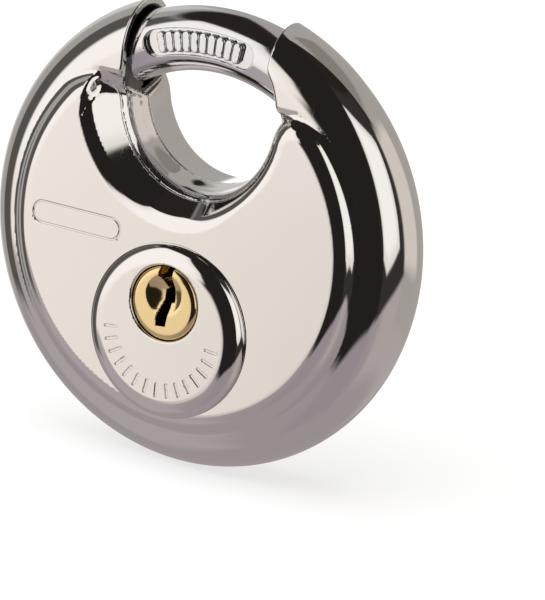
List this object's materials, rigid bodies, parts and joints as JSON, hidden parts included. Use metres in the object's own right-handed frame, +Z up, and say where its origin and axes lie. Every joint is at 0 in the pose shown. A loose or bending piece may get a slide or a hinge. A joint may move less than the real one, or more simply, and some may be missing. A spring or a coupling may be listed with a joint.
{
  "type": "disc padlock",
  "caption": "Round shrouded padlock: two pressed stainless shells, a curved shackle across a throat, and a brass key plug in a raised cap that turns the shackle through gears.",
  "frame": {"origin": "centre of the disc on the rear flat face", "axes": "+Z up through the middle of the shackle and throat, +Y out of the rear face (the disc's axis), keyhole facing -Y, +X to the right seen from the front"},
  "size_m": [0.07, 0.0189, 0.0683],
  "materials": {
    "polished_stainless": "mirror-polished stainless steel, warm grey, fine handling scratches",
    "hardened_shackle": "polished hardened steel, slightly cooler than the shells",
    "plug_brass": "polished brass",
    "inner_brass": "machined brass",
    "inner_steel": "zinc-plated and machined steel",
    "spring_steel": "drawn spring wire"
  },
  "bodies": {
    "case": {"front_shell": "polished_stainless", "rear_shell": "polished_stainless", "boss_cap": "polished_stainless", "anti_drill_plate": "inner_steel", "cylinder_housing": "inner_brass", "spring_cover": "inner_steel", "front_plate": "inner_steel", "rear_plate": "inner_steel", "plate_spacers": "inner_steel", "plate_screws": "inner_steel", "stop_pins": "inner_steel", "pin_spring_1": "spring_steel", "pin_spring_2": "spring_steel", "pin_spring_3": "spring_steel", "pin_spring_4": "spring_steel", "pin_spring_5": "spring_steel"},
    "shackle": {"shackle": "hardened_shackle", "shackle_carrier": "inner_steel", "carrier_rivets": "inner_steel"},
    "plug": {"plug": "plug_brass", "plug_clip": "inner_steel", "drive_pinion": "inner_steel"},
    "key_pin_1": {"key_pin_1": "inner_brass"},
    "key_pin_2": {"key_pin_2": "inner_brass"},
    "key_pin_3": {"key_pin_3": "inner_brass"},
    "key_pin_4": {"key_pin_4": "inner_brass"},
    "key_pin_5": {"key_pin_5": "inner_brass"},
    "driver_pin_1": {"driver_pin_1": "inner_brass"},
    "driver_pin_2": {"driver_pin_2": "inner_brass"},
    "driver_pin_3": {"driver_pin_3": "inner_brass"},
    "driver_pin_4": {"driver_pin_4": "inner_brass"},
    "driver_pin_5": {"driver_pin_5": "inner_brass"}
  },
  "joints": [
    {"name": "shackle_turn", "type": "hinge", "parent": "case", "child": "shackle", "pos_m": [0, -0.0084, 0], "axis": [0, 1, 0], "range_deg": [0, 72]},
    {"name": "plug_turn", "type": "hinge", "parent": "case", "child": "plug", "pos_m": [0, -0.0084, -0.009], "axis": [0, 1, 0], "range_deg": [0, 126]},
    {"name": "driver_pin_1_slide", "type": "slide", "parent": "case", "child": "driver_pin_1", "axis": [0, 0, 1], "range_m": [0, 0.0008], "stiffness_N_per_m": 10, "springref_m": -0.002, "deforming": ["pin_spring_1"]},
    {"name": "driver_pin_2_slide", "type": "slide", "parent": "case", "child": "driver_pin_2", "axis": [0, 0, 1], "range_m": [0, 0.0008], "stiffness_N_per_m": 10, "springref_m": -0.002, "deforming": ["pin_spring_2"]},
    {"name": "driver_pin_3_slide", "type": "slide", "parent": "case", "child": "driver_pin_3", "axis": [0, 0, 1], "range_m": [0, 0.0008], "stiffness_N_per_m": 10, "springref_m": -0.002, "deforming": ["pin_spring_3"]},
    {"name": "driver_pin_4_slide", "type": "slide", "parent": "case", "child": "driver_pin_4", "axis": [0, 0, 1], "range_m": [0, 0.0008], "stiffness_N_per_m": 10, "springref_m": -0.002, "deforming": ["pin_spring_4"]},
    {"name": "driver_pin_5_slide", "type": "slide", "parent": "case", "child": "driver_pin_5", "axis": [0, 0, 1], "range_m": [0, 0.0008], "stiffness_N_per_m": 10, "springref_m": -0.002, "deforming": ["pin_spring_5"]},
    {"name": "key_pin_1_slide", "type": "slide", "parent": "plug", "child": "key_pin_1", "axis": [0, 0, 1], "range_m": [-0.0005, 0]},
    {"name": "key_pin_2_slide", "type": "slide", "parent": "plug", "child": "key_pin_2", "axis": [0, 0, 1], "range_m": [-0.0005, 0]},
    {"name": "key_pin_3_slide", "type": "slide", "parent": "plug", "child": "key_pin_3", "axis": [0, 0, 1], "range_m": [-0.0005, 0]},
    {"name": "key_pin_4_slide", "type": "slide", "parent": "plug", "child": "key_pin_4", "axis": [0, 0, 1], "range_m": [-0.0005, 0]},
    {"name": "key_pin_5_slide", "type": "slide", "parent": "plug", "child": "key_pin_5", "axis": [0, 0, 1], "range_m": [-0.0005, 0]}
  ],
  "couplings": [
    {"joint": "plug_turn", "follows": "shackle_turn", "ratio": 1.75},
    {"joint": "driver_pin_2_slide", "follows": "driver_pin_1_slide", "ratio": 1},
    {"joint": "driver_pin_3_slide", "follows": "driver_pin_1_slide", "ratio": 1},
    {"joint": "driver_pin_4_slide", "follows": "driver_pin_1_slide", "ratio": 1},
    {"joint": "driver_pin_5_slide", "follows": "driver_pin_1_slide", "ratio": 1},
    {"joint": "key_pin_2_slide", "follows": "key_pin_1_slide", "ratio": 1},
    {"joint": "key_pin_3_slide", "follows": "key_pin_1_slide", "ratio": 1},
    {"joint": "key_pin_4_slide", "follows": "key_pin_1_slide", "ratio": 1},
    {"joint": "key_pin_5_slide", "follows": "key_pin_1_slide", "ratio": 1}
  ]
}
